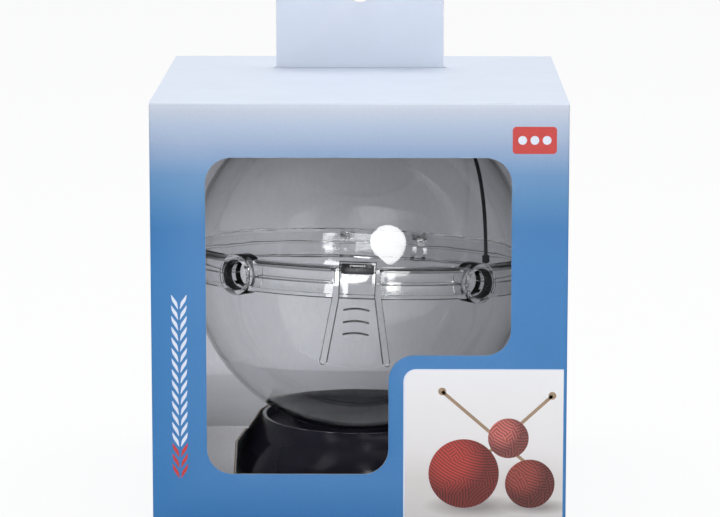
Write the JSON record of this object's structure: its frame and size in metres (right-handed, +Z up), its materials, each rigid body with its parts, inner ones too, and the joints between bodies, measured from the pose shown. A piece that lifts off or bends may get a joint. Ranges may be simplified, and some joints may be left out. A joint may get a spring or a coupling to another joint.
{
  "type": "boxed yarn dispenser",
  "caption": "Clear hinged globe that feeds yarn through rubber eyelets, resting on a dark foot in a folded tray inside a window carton with a hang tab.",
  "frame": {"origin": "centre of the carton's footprint, on the surface it stands on", "axes": "+Z up, the window faces -Y, +X to the right seen from the front"},
  "size_m": [0.2, 0.2, 0.262],
  "materials": {
    "printed_board_blue": "blue printed folding-box board, satin",
    "white_board": "white coated board, satin",
    "grey_board": "uncoated pale grey board, matte",
    "clear_plastic": "clear moulded plastic, polished",
    "dark_plastic": "very dark blue moulded plastic, glossy",
    "black_rubber": "black rubber, satin",
    "black_cord": "thin black round cord",
    "pin_steel": "drawn steel wire"
  },
  "bodies": {
    "carton": {"carton_front_panel": "printed_board_blue", "carton_rear_panel": "printed_board_blue", "carton_left_panel": "printed_board_blue", "carton_right_panel": "printed_board_blue", "carton_glue_flap": "grey_board", "carton_bottom_outer": "printed_board_blue", "carton_bottom_inner": "grey_board", "carton_bottom_dust_left": "grey_board", "carton_bottom_dust_right": "grey_board"},
    "front_flap": {"lid_front_flap": "white_board"},
    "rear_flap": {"lid_rear_flap": "white_board"},
    "tab": {"hang_tab": "white_board"},
    "left_dust": {"dust_flap_left": "white_board"},
    "right_dust": {"dust_flap_right": "white_board"},
    "dispenser": {"base_cup": "dark_plastic", "base_foot_ring": "black_rubber", "tray_platform": "grey_board", "tray_skirt_left": "grey_board", "tray_skirt_right": "grey_board", "tray_left_leg": "grey_board", "tray_right_leg": "grey_board", "tray_rear_leg": "grey_board"},
    "globe_lower": {"globe_bowl": "clear_plastic", "hinge_pin_left": "pin_steel", "hinge_pin_right": "pin_steel"},
    "globe_upper": {"globe_dome": "clear_plastic", "grommet_left": "black_rubber", "grommet_right": "black_rubber", "carry_cord": "black_cord", "cord_knot": "black_cord", "cord_end_knot": "black_cord"},
    "latch": {"latch_tongue": "clear_plastic"}
  },
  "joints": [
    {"name": "dispenser_lift", "type": "slide", "parent": "carton", "child": "dispenser", "axis": [0, 0, 1], "range_m": [0, 0.172]},
    {"name": "front_flap_fold", "type": "hinge", "parent": "carton", "child": "front_flap", "pos_m": [0, -0.1, 0.206], "axis": [1, 0, 0], "range_deg": [0, 246]},
    {"name": "rear_flap_fold", "type": "hinge", "parent": "carton", "child": "rear_flap", "pos_m": [0, 0.1, 0.206], "axis": [-1, 0, 0], "range_deg": [0, 256]},
    {"name": "left_dust_fold", "type": "hinge", "parent": "carton", "child": "left_dust", "pos_m": [-0.1, 0, 0.2048], "axis": [0, -1, 0], "range_deg": [0, 250]},
    {"name": "right_dust_fold", "type": "hinge", "parent": "carton", "child": "right_dust", "pos_m": [0.1, 0, 0.2048], "axis": [0, 1, 0], "range_deg": [0, 250]},
    {"name": "globe_lid", "type": "hinge", "parent": "globe_lower", "child": "globe_upper", "pos_m": [-0.00087, 0.09585, 0.11024], "axis": [-0.9994, 0.0019, 0.0348], "range_deg": [0, 78]},
    {"name": "globe_tilt", "type": "hinge", "parent": "dispenser", "child": "globe_lower", "pos_m": [-0.001, 0, 0.112], "axis": [1, 0, 0], "range_deg": [-10, 10]},
    {"name": "latch_flex", "type": "hinge", "parent": "globe_lower", "child": "latch", "pos_m": [-0.00243, -0.07672, 0.07525], "axis": [0.9994, -0.0019, -0.0348], "range_deg": [0, 2.4], "stiffness_Nm_per_rad": 0.6},
    {"name": "tab_fold", "type": "hinge", "parent": "front_flap", "child": "tab", "pos_m": [-0.0013, 0.0467, 0.2063], "axis": [1, 0, 0], "range_deg": [0, 90]}
  ],
  "couplings": [
    {"joint": "front_flap_fold", "follows": "dispenser_lift", "rad_per_m": 24.861},
    {"joint": "rear_flap_fold", "follows": "dispenser_lift", "rad_per_m": 25.876},
    {"joint": "left_dust_fold", "follows": "dispenser_lift", "rad_per_m": 25.267},
    {"joint": "right_dust_fold", "follows": "dispenser_lift", "rad_per_m": 25.267},
    {"joint": "globe_lid", "follows": "dispenser_lift", "rad_per_m": 7.8134}
  ]
}
